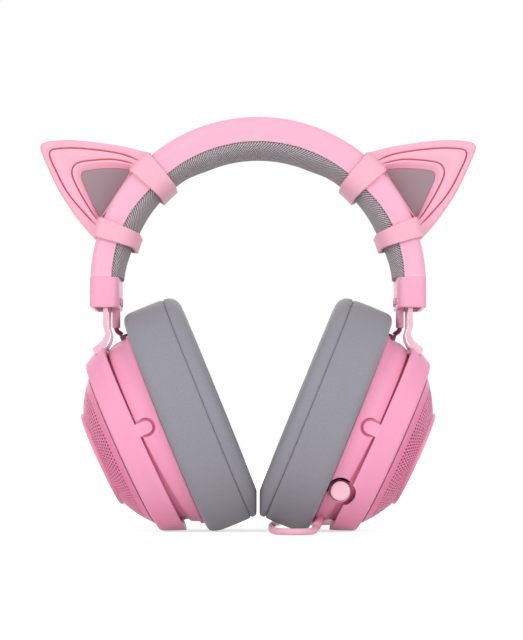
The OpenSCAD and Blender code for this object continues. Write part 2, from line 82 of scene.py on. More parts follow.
def set_socket(tree, socket, value):
    """Sets an input to a value, or links it to another node's output."""
    if hasattr(value, "is_output"):
        tree.links.new(value, socket)
    else:
        socket.default_value = value


def fill(tree, node, **values):
    for label, value in values.items():
        set_socket(tree, node.inputs[label.replace("_", " ")], value)
    return node


def add_node(tree, kind, **values):
    return fill(tree, tree.nodes.new("ShaderNode" + kind), **values)


def math_node(tree, operation, first, second):
    node = add_node(tree, "Math")
    node.operation = operation
    for socket, value in zip(node.inputs, (first, second)):
        set_socket(tree, socket, value)
    return node.outputs[0]


def pick_shader(tree, unseen, seen):
    """The second shader where the camera, a reflection or transmission sees it, else the first."""
    path = add_node(tree, "LightPath")
    directly = path.outputs["Is Camera Ray"]
    for kind in ("Is Glossy Ray", "Is Transmission Ray"):
        directly = math_node(tree, "MAXIMUM", directly, path.outputs[kind])
    pick = add_node(tree, "MixShader")
    for socket, value in zip(pick.inputs, (directly, unseen.outputs[0], seen.outputs[0])):
        tree.links.new(value, socket)
    return pick.outputs[0]


def new_material(name):
    paint = bpy.data.materials.new(name)
    paint.use_nodes = True
    return paint, paint.node_tree, paint.node_tree.nodes["Principled BSDF"]


world = bpy.data.worlds.new("surround")
scene.world = world
world.use_nodes = True
world_tree = world.node_tree
world_tree.nodes.clear()
dim_sky = add_node(world_tree, "Background", Color=srgb(250, 250, 255), Strength=0.5)
white_sky = add_node(world_tree, "Background", Color=(1, 1, 1, 1), Strength=1)
add_node(world_tree, "OutputWorld", Surface=pick_shader(world_tree, dim_sky, white_sky))

FLOOR = 6
FLOOR_DROP = 0.0002
floor_mesh = bpy.data.meshes.new("floor")
floor_mesh.from_pydata([(-FLOOR, -FLOOR, 0), (FLOOR, -FLOOR, 0), (FLOOR, FLOOR, 0), (-FLOOR, FLOOR, 0)],
                       [], [(0, 1, 2, 3)])
floor = bpy.data.objects.new("floor", floor_mesh)
scene.collection.objects.link(floor)
floor.location.z = -FLOOR_DROP
floor_paint, floor_tree, floor_shader = new_material("floor_paint")
fill(floor_tree, floor_shader, Base_Color=(0.86, 0.86, 0.86, 1), Roughness=0.9)
floor_far = add_node(floor_tree, "VectorMath")
floor_far.operation = "LENGTH"
floor_tree.links.new(add_node(floor_tree, "NewGeometry").outputs["Position"], floor_far.inputs[0])
floor_fade = add_node(floor_tree, "MapRange", Value=floor_far.outputs["Value"],
                      From_Min=0.15, From_Max=1.1, To_Min=0.62, To_Max=1.0)
floor_glow = add_node(floor_tree, "Emission", Strength=floor_fade.outputs[0])
floor_none = add_node(floor_tree, "Emission", Strength=0)
floor_sum = add_node(floor_tree, "AddShader")
floor_tree.links.new(floor_shader.outputs[0], floor_sum.inputs[0])
floor_tree.links.new(pick_shader(floor_tree, floor_none, floor_glow), floor_sum.inputs[1])
floor_tree.links.new(floor_sum.outputs[0], floor_tree.nodes["Material Output"].inputs["Surface"])
floor_mesh.materials.append(floor_paint)

LAMP_AIM = Vector((0, 0, 0.08))
for lamp_name, place, size, power in (
        ("lamp_left", (-0.6, -0.8, 0.4), 0.6, 3.9),
        ("lamp_right", (0.65, -0.75, 0.4), 0.6, 3.3),
        ("lamp_top", (0, 0.15, 0.95), 0.9, 1.2),
        ("lamp_back", (-0.2, 0.95, 0.3), 0.8, 1.5)):
    lamp_data = bpy.data.lights.new(lamp_name, "AREA")
    lamp_data.size = size
    lamp_data.energy = power
    lamp = bpy.data.objects.new(lamp_name, lamp_data)
    lamp.location = place
    lamp.rotation_euler = (LAMP_AIM - lamp.location).to_track_quat("-Z", "Y").to_euler()
    scene.collection.objects.link(lamp)


# Cord: a 1.3 m round rubber lead, 2.8 mm thick, from the relief under the right cup. It turns
# on the floor, runs back under the ear pad and ends in a tied coil and a 3.5 mm plug.
MM = 0.001
CORD_D = 2.8 * MM
COIL_CENTRE = Vector((27.7 * MM, 84 * MM, 0))
COIL_RADII = [(14.6 + step * 2.8) * MM for step in (1, 0, -1)]
COIL_LAYERS = 4
COIL_STEPS = 20
cord_route = [Vector(point) * MM for point in (
    (24.6, -22.5, 2.4), (24.2, -28, 1.9), (23.8, -34, 1.6), (23, -41, 1.5),
    (21.4, -47, 1.5), (18.4, -51.5, 1.5), (14.6, -53.2, 1.5), (10.8, -51.6, 1.5),
    (8.2, -47.4, 1.5), (6.8, -41, 1.5), (6.1, -32, 1.5), (5.8, -20, 1.5), (5.8, -6, 1.5),
    (5.9, 8, 1.5), (6.2, 22, 1.5), (6.8, 36, 1.5), (7.8, 49, 1.5), (9, 61, 1.5),
    (10, 72, 1.5), (10.3, 82, 1.5))]
tail_route = [Vector(point) * MM for point in (
    (10.3, 84, 9.8), (10.2, 89, 9.7), (10.4, 93.5, 8.9), (11.4, 97.5, 7),
    (13.2, 101, 4.9), (15.2, 104, 3.7), (16.6, 107, 3.2), (17, 109, 3.2))]


def coil_place(index):
    """Column and layer of one turn: inward on the floor, outward on the next layer, and so on."""
    layer = min(index // 3, COIL_LAYERS - 1)
    column = index % 3 if layer % 2 == 0 else 2 - index % 3
    return COIL_RADII[column], layer * CORD_D + CORD_D / 2


def coil_points(turns):
    points = []
    for step in range(1, int(turns * COIL_STEPS)):
        index, part = divmod(step / COIL_STEPS, 1)
        radius, height = coil_place(int(index))
        next_radius, next_height = coil_place(int(index) + 1)
        crossing = min(max((part - 0.75) / 0.25, 0), 1)
        radius += (next_radius - radius) * crossing
        height += (next_height - height) * crossing
        angle = math.pi - 2 * math.pi * (index + part)
        points.append(COIL_CENTRE + Vector((radius * math.cos(angle), radius * math.sin(angle), height)))
    return points


def baked(piece):
    """The piece's shape as a plain mesh, with its curve or its modifiers worked out."""
    return bpy.data.meshes.new_from_object(piece.evaluated_get(bpy.context.evaluated_depsgraph_get()))


COIL_TURNS = 12
cord_points = cord_route + coil_points(COIL_TURNS) + tail_route
cord_data = bpy.data.curves.new("cord", "CURVE")
cord_data.dimensions = "3D"
cord_data.bevel_depth = CORD_D / 2
cord_data.bevel_resolution = 5
cord_data.use_fill_caps = True
cord_data.resolution_u = 4
cord_line = cord_data.splines.new("BEZIER")
cord_line.bezier_points.add(len(cord_points) - 1)
knots = cord_line.bezier_points
for knot, point in zip(knots, cord_points):
    knot.co = point
    knot.handle_left_type = "AUTO"
    knot.handle_right_type = "AUTO"
cord_curve = bpy.data.objects.new("cord_curve", cord_data)
scene.collection.objects.link(cord_curve)
bpy.context.view_layer.update()
cord_path = [point for a, b in zip(knots[:-1], knots[1:])
             for point in interpolate_bezier(a.co, a.handle_right, b.handle_left, b.co, 5)[:-1]]
cord_path.append(knots[-1].co.copy())
cord_mesh = baked(cord_curve)
bpy.data.objects.remove(cord_curve)
cord_piece = bpy.data.objects.new("cord_lead", cord_mesh)
scene.collection.objects.link(cord_piece)
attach(cord_piece, "cup_right")
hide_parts("cord", "cord_coil", "cord_tail")


# Shared surface effects. Grain is the fine texture of a moulded or coated surface, with a slow
# drift of colour across it. Rub is the lighter line that handling leaves along edges.
def new_group(name, inputs, outputs):
    tree = bpy.data.node_groups.new(name, "ShaderNodeTree")
    for label, kind, value in inputs:
        socket = tree.interface.new_socket(label, in_out="INPUT", socket_type="NodeSocket" + kind)
        socket.default_value = value
    for label, kind in outputs:
        tree.interface.new_socket(label, in_out="OUTPUT", socket_type="NodeSocket" + kind)
    return tree, tree.nodes.new("NodeGroupInput"), tree.nodes.new("NodeGroupOutput")


def noise_node(tree, scale, detail, position):
    return add_node(tree, "TexNoise", Scale=scale, Detail=detail, Vector=position).outputs["Fac"]


def mix_colour(tree, factor, first, second):
    node = add_node(tree, "Mix")
    node.data_type = "RGBA"
    for index, value in ((0, factor), (6, first), (7, second)):
        set_socket(tree, node.inputs[index], value)
    return node.outputs[2]


grain_group, grain_in, grain_out = new_group(
    "grain",
    [("Colour", "Color", (1, 1, 1, 1)), ("Fine scale", "Float", 2500), ("Drift", "Float", 0.05),
     ("Roughness", "Float", 0.4)],
    [("Colour", "Color"), ("Roughness", "Float"), ("Height", "Float")])
where = add_node(grain_group, "TexCoord").outputs["Object"]
fine = noise_node(grain_group, grain_in.outputs["Fine scale"], 3, where)
slow = math_node(grain_group, "SUBTRACT", noise_node(grain_group, 45, 3, where), 0.5)
drift = math_node(grain_group, "MULTIPLY", slow, grain_in.outputs["Drift"])
brighten = add_node(grain_group, "VectorMath")
brighten.operation = "SCALE"
grain_group.links.new(grain_in.outputs["Colour"], brighten.inputs[0])
grain_group.links.new(math_node(grain_group, "ADD", drift, 1), brighten.inputs["Scale"])
rough = math_node(grain_group, "ADD", grain_in.outputs["Roughness"],
                  math_node(grain_group, "MULTIPLY", slow, 0.16))
fill(grain_group, grain_out, Colour=brighten.outputs[0], Roughness=rough, Height=fine)

rub_group, rub_in, rub_out = new_group(
    "rub", [("Colour", "Color", (1, 1, 1, 1)), ("Amount", "Float", 0.2)], [("Colour", "Color")])
shape = add_node(rub_group, "NewGeometry")
edge = add_node(rub_group, "MapRange", Value=shape.outputs["Pointiness"], From_Min=0.52, From_Max=0.62)
patchy = noise_node(rub_group, 220, 4, add_node(rub_group, "TexCoord").outputs["Object"])
rub_fac = math_node(rub_group, "MULTIPLY", math_node(rub_group, "MULTIPLY", edge.outputs[0], patchy),
                    rub_in.outputs["Amount"])
fill(rub_group, rub_out, Colour=mix_colour(rub_group, rub_fac, rub_in.outputs["Colour"], (1, 0.9, 0.93, 1)))


def place_group(tree, group, **values):
    node = add_node(tree, "Group")
    node.node_tree = group
    return fill(tree, node, **values)


def bump(tree, height, strength, distance):
    node = add_node(tree, "Bump", Strength=strength, Distance=distance, Height=height)
    tree.links.new(node.outputs[0], tree.nodes["Principled BSDF"].inputs["Normal"])


def surface(name, colour, roughness, fine_scale=2500, drift=0.06, relief=0.00002, rub=0.25, **constants):
    """A moulded, painted or coated surface; constants are set straight on the shader."""
    paint, tree, shader = new_material(name)
    grain = place_group(tree, grain_group, Colour=colour, Fine_scale=fine_scale, Drift=drift,
                        Roughness=roughness)
    worn = place_group(tree, rub_group, Colour=grain.outputs["Colour"], Amount=rub)
    fill(tree, shader, Base_Color=worn.outputs["Colour"], Roughness=grain.outputs["Roughness"],
         Specular_IOR_Level=0.07)
    bump(tree, grain.outputs["Height"], 0.35, relief)
    fill(tree, shader, **constants)
    return paint


def repaint(node, paint):
    """Gives a CAD node's own mesh a better material."""
    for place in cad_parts[node].material_slots:
        place.link = "OBJECT"
        place.material = paint


cord_rubber = surface("cord_rubber", srgb(242, 182, 202), 0.5, fine_scale=1800, drift=0.05)
cord_mesh.materials.clear()
cord_mesh.materials.append(cord_rubber)
relief_rubber = surface("relief_rubber", srgb(242, 172, 196), 0.45)
repaint("cord_relief", relief_rubber)
repaint("plug_body", relief_rubber)
gold = surface("plug_gold", srgb(226, 182, 98), 0.22, rub=0.1, Metallic=1.0)
repaint("plug_tip", gold)


# Coil tie: a strip of black hook-and-loop webbing, wrapped once round all the turns of the
# coil to keep them together.
webbing = surface("tie_webbing", srgb(40, 38, 42), 0.85, fine_scale=3500, drift=0.2, relief=0.0002, rub=0.05)
repaint("cord_tie", webbing)


# Headband cover: one satin-painted nylon moulding, a channel bent into an arc, with the liner
# that closes it from below. The steel band and the slider arms run inside it.
def link_piece(name, mesh, body, paint):
    mesh.name = name
    piece = bpy.data.objects.new(name, mesh)
    scene.collection.objects.link(piece)
    mesh.materials.append(paint)
    for face in mesh.polygons:
        face.use_smooth = True
    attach(piece, body)
    return piece


def face_out(mesh):
    """Turns every face of a closed skin outwards."""
    work = bmesh.new()
    work.from_mesh(mesh)
    bmesh.ops.recalc_face_normals(work, faces=work.faces)
    work.to_mesh(mesh)
    work.free()
    return mesh


def weave(rings, ends="open"):
    """Skin over closed rings of points in millimetres; its ends are open, capped or looped."""
    count = len(rings[0])
    points = [tuple(c * MM for c in point) for ring in rings for point in ring]
    faces = []
    for row in range(len(rings) if ends == "looped" else len(rings) - 1):
        low, high = row * count, (row + 1) % len(rings) * count
        for k in range(count):
            n = (k + 1) % count
            faces.append((low + k, low + n, high + n, high + k))
    if ends == "capped":
        faces.append(tuple(range(count))[::-1])
        faces.append(tuple((len(rings) - 1) * count + k for k in range(count)))
    mesh = bpy.data.meshes.new("skin")
    mesh.from_pydata(points, [], faces)
    mesh.update()
    return mesh if ends == "open" else face_out(mesh)


def keep_edges(piece, angle=35):
    """Keeps folds sharper than the angle crisp while the rest stays smooth."""
    work = bmesh.new()
    work.from_mesh(piece.data)
    for line in work.edges:
        if len(line.link_faces) == 2 and line.calc_face_angle(0) > math.radians(angle):
            line.smooth = False
    work.to_mesh(piece.data)
    work.free()


cover_low, cover_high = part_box("headband_cover")
BAND_R = cover_high[0] / MM
BAND_H = cover_high[2] / MM - BAND_R
BAND_DEEP = (cover_high[1] - cover_low[1]) / MM
CAP_TOP = cover_low[2] / MM
COVER_IN = BAND_R - 10
BAND_STEPS = 96


def corner(middle, start, radius, steps=6):
    return [(middle[0] + radius * math.cos(math.radians(start + 90 * k / steps)),
             middle[1] + radius * math.sin(math.radians(start + 90 * k / steps))) for k in range(steps + 1)]


def ease(value, low, high):
    t = min(max((value - low) / (high - low), 0), 1)
    return t * t * (3 - 2 * t)


def liner_rise(degrees):
    """How much further in the cover's inner edge sits near the end caps, in millimetres."""
    return 1.8 * (1 - ease(min(degrees, 180 - degrees), 22, 50))


def band_point(radius, depth, turn):
    """A point round the headband's centre, turned up from +X by an angle in radians."""
    return (radius * math.cos(turn), depth, BAND_H + radius * math.sin(turn))


def band_rings(profile, start, end, steps):
    """Sweeps (radius, depth) points round the headband's arc between two elevations."""
    rings = []
    for k in range(steps + 1):
        degrees = start + (end - start) * k / steps
        turn = math.radians(degrees)
        ring = []
        for r, y in profile:
            r += liner_rise(degrees) if r < COVER_IN + 0.5 else 0
            ring.append(band_point(r, y, turn))
        rings.append(ring)
    return rings


def level_ends(mesh, height):
    """Cuts both ends of an arch off at one height and closes them."""
    work = bmesh.new()
    work.from_mesh(mesh)
    every = work.verts[:] + work.edges[:] + work.faces[:]
    cut = bmesh.ops.bisect_plane(work, geom=every, plane_co=(0, 0, height * MM), plane_no=(0, 0, 1),
                                 clear_inner=True)
    rims = [part for part in cut["geom_cut"] if isinstance(part, bmesh.types.BMEdge)]
    bmesh.ops.holes_fill(work, edges=rims)
    bmesh.ops.recalc_face_normals(work, faces=work.faces)
    work.to_mesh(mesh)
    work.free()


HALF_DEEP = BAND_DEEP / 2
LIP = COVER_IN - 1.2
cover_profile = (corner((BAND_R - 4, HALF_DEEP - 4), 0, 4)
                 + corner((LIP + 0.3, HALF_DEEP - 0.3), 90, 0.3, 3)
                 + [(LIP + 0.1, HALF_DEEP - 0.6), (COVER_IN + 0.2, HALF_DEEP - 0.9),
                    (COVER_IN + 0.2, 0.9 - HALF_DEEP), (LIP + 0.1, 0.6 - HALF_DEEP)]
                 + corner((LIP + 0.3, 0.3 - HALF_DEEP), 180, 0.3, 3)
                 + corner((BAND_R - 4, 4 - HALF_DEEP), 270, 4))
cover_paint = surface("cover_paint", srgb(249, 184, 206), 0.34, fine_scale=1500, drift=0.04,
                      Coat_Weight=0.06, Coat_Roughness=0.3)
cover_mesh = weave(band_rings(cover_profile, -4, 184, BAND_STEPS))
level_ends(cover_mesh, CAP_TOP)
cover = link_piece("headband_cover_shell", cover_mesh, "headband", cover_paint)
keep_edges(cover)
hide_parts("headband_cover", "headband_liner")


# Spring band: a strip of blued spring steel, hidden inside the cover, that gives the headband
# its grip.
blued_steel = surface("blued_steel", srgb(120, 124, 132), 0.32, rub=0.2, Metallic=1.0)
repaint("spring_band", blued_steel)


# Headband cushion: foam under a coarse grey knitted sleeve, glued under the cover. It is
# crowned between its edges and thins out towards the end caps.
def knit_material(name, colour, dark):
    paint, tree, shader = new_material(name)
    fill(tree, shader, Roughness=0.92, Specular_IOR_Level=0.15, Sheen_Weight=0.25, Sheen_Roughness=0.5)
    along = add_node(tree, "UVMap").outputs["UV"]
    ribs = []
    for direction in ("X", "Y"):
        wave = add_node(tree, "TexWave", Scale=1, Distortion=0.6, Detail=1, Detail_Scale=3, Vector=along)
        wave.bands_direction = direction
        ribs.append(wave.outputs["Fac"])
    knit = math_node(tree, "ADD", math_node(tree, "MULTIPLY", ribs[0], 0.72),
                     math_node(tree, "MULTIPLY", ribs[1], 0.3))
    speck = noise_node(tree, 1600, 2, add_node(tree, "TexCoord").outputs["Object"])
    height = math_node(tree, "ADD", knit, math_node(tree, "MULTIPLY", speck, 0.3))
    tone = add_node(tree, "MapRange", Value=height, From_Min=0.35, From_Max=1.0)
    tree.links.new(mix_colour(tree, tone.outputs[0], dark, colour), shader.inputs["Base Color"])
    bump(tree, height, 0.9, 0.0006)
    return paint


def cushion_profile(thin, rise):
    """Half-round section under the cover; thin is the thickness of the foam in millimetres."""
    wide = HALF_DEEP - 0.95
    points = []
    for k in range(25):
        turn = math.pi * k / 24
        bulge = math.sin(turn) ** 0.6
        side = math.copysign(abs(math.cos(turn)) ** 0.75, math.cos(turn))
        points.append((COVER_IN + rise - (thin + rise) * bulge, wide * side))
    return points + [(COVER_IN + rise + 0.1, -wide * 0.6), (COVER_IN + rise + 0.1, wide * 0.6)]


CUSHION_START, CUSHION_SWEEP, CUSHION_STEPS = -3, 186, 180
FOAM = 5.5
KNIT = 0.27
KNIT_R, KNIT_ROW, KNIT_SLANT = 59, 1.45, 0.6
cushion_rings = []
for k in range(CUSHION_STEPS + 1):
    degrees = CUSHION_START + CUSHION_SWEEP * k / CUSHION_STEPS
    turn = math.radians(degrees)
    from_end = min(degrees, 180 - degrees)
    thin = FOAM + 1.3 * ease(from_end, 54, 68) - 1.9 * (1 - ease(from_end, 0, 26))
    cushion_rings.append([band_point(r, y, turn) for r, y in cushion_profile(thin, liner_rise(degrees))])
cushion_mesh = weave(cushion_rings)
cushion_uv = cushion_mesh.uv_layers.new(name="knit")
ring_size = len(cushion_rings[0])
for face in cushion_mesh.polygons:
    for loop in face.loop_indices:
        vertex = cushion_mesh.loops[loop].vertex_index
        row, column = divmod(vertex, ring_size)
        if column == 0 and max(cushion_mesh.loops[i].vertex_index % ring_size for i in face.loop_indices) > 2:
            column = ring_size
        along = row / CUSHION_STEPS * CUSHION_SWEEP * math.pi / 180 * KNIT_R * KNIT
        across = column * KNIT_ROW * KNIT
        cushion_uv.data[loop].uv = (along + KNIT_SLANT * across, across - KNIT_SLANT * along)
level_ends(cushion_mesh, CAP_TOP)
cushion = link_piece("headband_cushion_knit", cushion_mesh, "headband",
                     knit_material("band_knit", srgb(226, 215, 218), srgb(116, 107, 110)))
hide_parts("headband_cushion")


# End caps: glossy pink sleeves that close the headband's ends, one a side, and carry the
# slider guides.
SIDES = (("right", 1), ("left", -1))
cap_low, cap_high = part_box("end_cap_right")
CAP_WALL = 1.8
gloss_paint = surface("cap_gloss", srgb(247, 173, 198), 0.34, fine_scale=900, drift=0.03, relief=0.000008,
                      Coat_Weight=0.1, Coat_Roughness=0.12, Specular_IOR_Level=0.02)


def round_box(x0, x1, y0, y1, z, radius, steps=6):
    """Level rounded rectangle of points at one height."""
    points = []
    for (cx, cy), start in (((x1 - radius, y1 - radius), 0), ((x0 + radius, y1 - radius), 90),
                            ((x0 + radius, y0 + radius), 180), ((x1 - radius, y0 + radius), 270)):
        points += corner((cx, cy), start, radius, steps)
    return [(x, y, z) for x, y in points]


for side, way in SIDES:
    x0, x1 = cap_low[0] / MM, cap_high[0] / MM
    y0, y1 = cap_low[1] / MM, cap_high[1] / MM
    z0, z1 = cap_low[2] / MM, cap_high[2] / MM
    rows = [(z1 - 4, CAP_WALL, 1.6), (z1, CAP_WALL, 1.6), (z1, 0.35, 3.6), (z1 - 0.12, 0.1, 3.9),
            (z1 - 0.5, 0, 4), (z0 + 1, 0, 4), (z0 + 0.4, 0.12, 3.9), (z0 + 0.1, 0.4, 3.6), (z0, 0.9, 3.2),
            (z0, CAP_WALL - 0.2, 2.2), (z0 + 0.3, CAP_WALL, 2), (z0 + 9, CAP_WALL, 1.6)]
    rings = [[(way * x, y, z)
              for x, y, z in round_box(x0 + inset, x1 - inset, y0 + inset, y1 - inset, z, radius)]
             for z, inset, radius in rows]
    cap = link_piece("end_cap_shell_" + side, weave(rings, "looped"), "headband", gloss_paint)
    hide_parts("end_cap_" + side)


# Slider guides, cable bushings and cap screws: black acetal guides inside the end caps, pink
# bushings under them and pink screws in the caps' inner faces.
acetal = surface("guide_acetal", srgb(34, 32, 34), 0.5)
bushing_paint = surface("bushing_paint", srgb(240, 160, 188), 0.35)
for side, way in SIDES:
    repaint("slider_guide_" + side, acetal)
    repaint("cable_bushing_" + side, bushing_paint)
    repaint("cap_screws_" + side, bushing_paint)


# Cat ears: each is one piece of soft pink silicone, a flat ear with two moulded grooves and a
# framed window, that clips on with two straps wrapped right round the headband.
EAR_STEPS = (30, 30, 30)


def spline_point(p0, p1, p2, p3, t):
    """A point between p1 and p2 on the smooth curve through all four."""
    return 0.5 * (2 * p1 + (p2 - p0) * t + (2 * p0 - 5 * p1 + 4 * p2 - p3) * t * t
                  + (3 * p1 - p0 - 3 * p2 + p3) * t ** 3)


def even_samples(points, steps):
    """Points at even distances along a line through the points, without the last one."""
    lengths = [0]
    for a, b in zip(points, points[1:]):
        lengths.append(lengths[-1] + (b - a).length)
    samples = []
    k = 0
    for j in range(steps):
        want = lengths[-1] * j / steps
        while lengths[k + 1] < want:
            k += 1
        part = (want - lengths[k]) / (lengths[k + 1] - lengths[k])
        samples.append(points[k].lerp(points[k + 1], part))
    return samples


def curve_through(points, steps):
    padded = [Vector(p) for p in (points[0], *points, points[-1])]
    dense = [spline_point(*padded[k - 1:k + 3], j / 24) for k in range(1, len(padded) - 2) for j in range(24)]
    return even_samples(dense + [padded[-1]], steps)


def ear_loop(top, bottom, side, soften=2):
    """Closed loop: along the top to the tip, back along the bottom, then up beside the band."""
    loop = (curve_through(top, EAR_STEPS[0]) + curve_through(bottom, EAR_STEPS[1])
            + even_samples([Vector(p) for p in (bottom[-1], *side, top[0])], EAR_STEPS[2]))
    for _ in range(soften):
        loop = [loop[k] * 0.5 + (loop[k - 1] + loop[(k + 1) % len(loop)]) * 0.25 for k in range(len(loop))]
    return loop


def shifted(loop, inward):
    """The loop moved towards its own inside, hardly at all on the side beside the band."""
    moved = []
    count, free = len(loop), EAR_STEPS[0] + EAR_STEPS[1]
    for k, point in enumerate(loop):
        along = (loop[(k + 1) % count] - loop[k - 1]).normalized()
        from_band = min(k, free - k) if k < free else 0
        amount = inward * (0.12 + 0.88 * min(from_band / 4, 1))
        moved.append(point + Vector((along.y, -along.x)) * amount)
    return moved


def ear_half(point):
    """Half the ear's thickness: thin at the tip, flared into the straps at the root."""
    radius = math.hypot(point.x, point.y - BAND_H)
    degrees = math.degrees(math.atan2(point.y - BAND_H, point.x))
    base = 4.5 - 2 * ease(point.x, 43, 97)
    by_strap = ease(degrees, 44.5, 48.5) + 1 - ease(degrees, 20, 23.5)
    return base + 10.5 * by_strap * (1 - ease(radius, BAND_R - 2, BAND_R + 8)) ** 1.6


outer_loop = ear_loop(((45.6, 163.5), (59.1, 167.4), (79.9, 170.2), (93.2, 169.6), (95.6, 168.4)),
                      ((95.6, 168.4), (95.3, 166), (87.9, 149.5), (79.3, 136.1), (70.6, 125.9)),
                      ((68.4, 134.7), (53.7, 157.8)))
groove_loops = [
    ear_loop(((51.2, 160.5), (60.4, 164.2), (78.7, 166.7), (90.3, 166.3), (91.6, 165.3)),
             ((91.6, 165.3), (91.3, 163.2), (89.2, 158.4), (82.4, 145.9), (69.7, 131.6)),
             ((68.7, 134.9), (54, 158))),
    ear_loop(((54.1, 159.6), (62, 161.5), (70, 161.5), (78.6, 160.4), (81.2, 158.2)),
             ((81.2, 158.2), (81.3, 154.6), (77.2, 146), (69.9, 134.6)),
             ((68.9, 135), (54.2, 158.1)))]
frame_loop = ear_loop(((55.4, 158.9), (62, 160.3), (70, 160.2), (77.5, 159), (79.6, 157)),
                      ((79.6, 157), (79.4, 153.6), (75.9, 145.4), (70.1, 135.6)),
                      ((69.1, 135.15), (54.4, 158.2)))
window_loop = ear_loop(((55.6, 157.5), (62, 158), (70, 157.8), (76.2, 156.9), (77.6, 155.6)),
                       ((77.6, 155.6), (77.2, 152.6), (74.2, 145.8), (69.9, 137)),
                       ((68.9, 136.2), (55.3, 157.3)), 1)


GROOVE_SINK = -1.1


def ear_rows():
    """Rows of (loop, depth factor, sink): depth factor scales the half-thickness."""
    rows = [(outer_loop, 0.0, 0), (outer_loop, 0.45, 0), (outer_loop, 0.75, 0.0),
            (shifted(outer_loop, 0.12), 1, 0.9), (shifted(outer_loop, 0.45), 1, 0.35),
            (shifted(outer_loop, 0.95), 1, 0.08), (shifted(outer_loop, 1.5), 1, 0)]
    for loop in groove_loops:
        rows += [(shifted(loop, inward), 1, sink)
                 for inward, sink in ((-0.55, 0), (-0.36, -0.2), (-0.26, GROOVE_SINK),
                                      (0.26, GROOVE_SINK), (0.36, -0.2), (0.55, 0))]
    rows += [(shifted(frame_loop, -0.3), 1, 0), (frame_loop, 1, 0.08), (shifted(frame_loop, 0.3), 1, 0.35),
             (shifted(window_loop, -0.2), None, 1.6), (window_loop, None, 1.35), (window_loop, None, 0.6)]
    return rows


def ear_ring(row, way, front):
    loop, factor, sink = row
    ring = []
    for point in loop:
        radius = math.hypot(point.x, point.y - BAND_H)
        if factor is None:
            depth = sink
        else:
            depth = ear_half(point) * factor
            depth -= -sink * ease(radius, BAND_R + 2, BAND_R + 4.2) if sink < 0 else sink
        ring.append((way * point.x, front * depth, point.y))
    return ring


silicone = surface("ear_silicone", srgb(250, 184, 202), 0.55, fine_scale=2200, drift=0.04, relief=0.00003,
                   rub=0.15, Subsurface_Weight=0.08, Subsurface_Scale=0.004)
STRAP_WALL, STRAP_GAP = 1.5, 0.3
STRAP_LOW, STRAP_HIGH = COVER_IN - FOAM - STRAP_GAP, BAND_R + STRAP_GAP
STRAP_DEPTH = (cap_high[1] - cap_low[1]) / MM / 2 + STRAP_GAP
STRAP_SPANS = ((41.3, 50), (15.8, 22.8))


def strap_ring(degrees, inset):
    """Rounded rectangle round the band at one elevation; inset runs from the outside inwards."""
    r0, r1 = STRAP_LOW - STRAP_WALL + inset, STRAP_HIGH + STRAP_WALL - inset
    depth = STRAP_DEPTH + STRAP_WALL - inset
    outer, inner = max(4.6 - inset, 2.5), 8.5 - inset
    outline = (corner((r1 - outer, depth - outer), 0, outer)
               + corner((r0 + inner, depth - inner), 90, inner, 9)
               + corner((r0 + inner, inner - depth), 180, inner, 9)
               + corner((r1 - outer, outer - depth), 270, outer))
    return [band_point(r, y, math.radians(degrees)) for r, y in outline]


def strap_rings(first, last):
    """One strap's skin: its lower edge, its inside, its upper edge and its outside."""
    edge = [(0.45, 0), (0.12, 0.12), (0, 0.4), (0, 1.1), (0.12, 1.4), (0.4, STRAP_WALL)]
    rings = [strap_ring(first + back, inset) for back, inset in edge]
    rings += [strap_ring(first + (last - first) * k / 5, STRAP_WALL) for k in range(1, 5)]
    rings += [strap_ring(last - back, inset) for back, inset in edge[::-1]]
    rings += [strap_ring(last - (last - first) * k / 5, 0) for k in range(1, 5)]
    return rings


def join_meshes(meshes):
    work = bmesh.new()
    for mesh in meshes:
        work.from_mesh(mesh)
    whole = bpy.data.meshes.new("joined")
    work.to_mesh(whole)
    work.free()
    return whole


def add_parts(piece, parts, paints):
    """Joins closed parts to a piece: the last paint covers them, the first covers the rest."""
    own = len(piece.data.polygons)
    piece.data = join_meshes([piece.data] + parts)
    piece.data.materials.clear()
    for paint in paints:
        piece.data.materials.append(paint)
    for face in piece.data.polygons:
        face.use_smooth = True
        face.material_index = len(paints) - 1 if face.index >= own else 0


# The bottoms of the two sunk grooves are painted a darker mauve: painted shade in the grooves.
groove_shade_paint = surface("ear_groove_shade", srgb(188, 118, 130), 0.7, fine_scale=2200, rub=0)
for side, way in SIDES:
    rows = ear_rows()
    sunk = [k for k in range(len(rows) - 1) if rows[k][2] == rows[k + 1][2] == GROOVE_SINK]
    groove_shade_rows = [{len(rows) - 1 - k, len(rows) - 2 - k} for k in sunk]
    groove_shade_rows += [{len(rows) - 1 + k, len(rows) + k} for k in sunk]
    rings = [ear_ring(row, way, -1) for row in rows[::-1]] + [ear_ring(row, way, 1) for row in rows[1:]]
    parts = [weave(rings, "looped")]
    for first, last in STRAP_SPANS:
        straps = [[(way * x, y, z) for x, y, z in ring] for ring in strap_rings(first, last)]
        parts.append(weave(straps, "looped"))
    ear = link_piece("cat_ear_shell_" + side, join_meshes(parts), "ear_" + side, silicone)
    # Faces between the two sunk rows of each groove take the painted groove shade.
    ear.data.materials.append(groove_shade_paint)
    for face in ear.data.polygons[:len(rings) * len(outer_loop)]:
        rows_here = {vertex // len(outer_loop) for vertex in face.vertices}
        face.material_index = 1 if rows_here in groove_shade_rows else 0
    keep_edges(ear, 50)
    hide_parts("cat_ear_" + side)


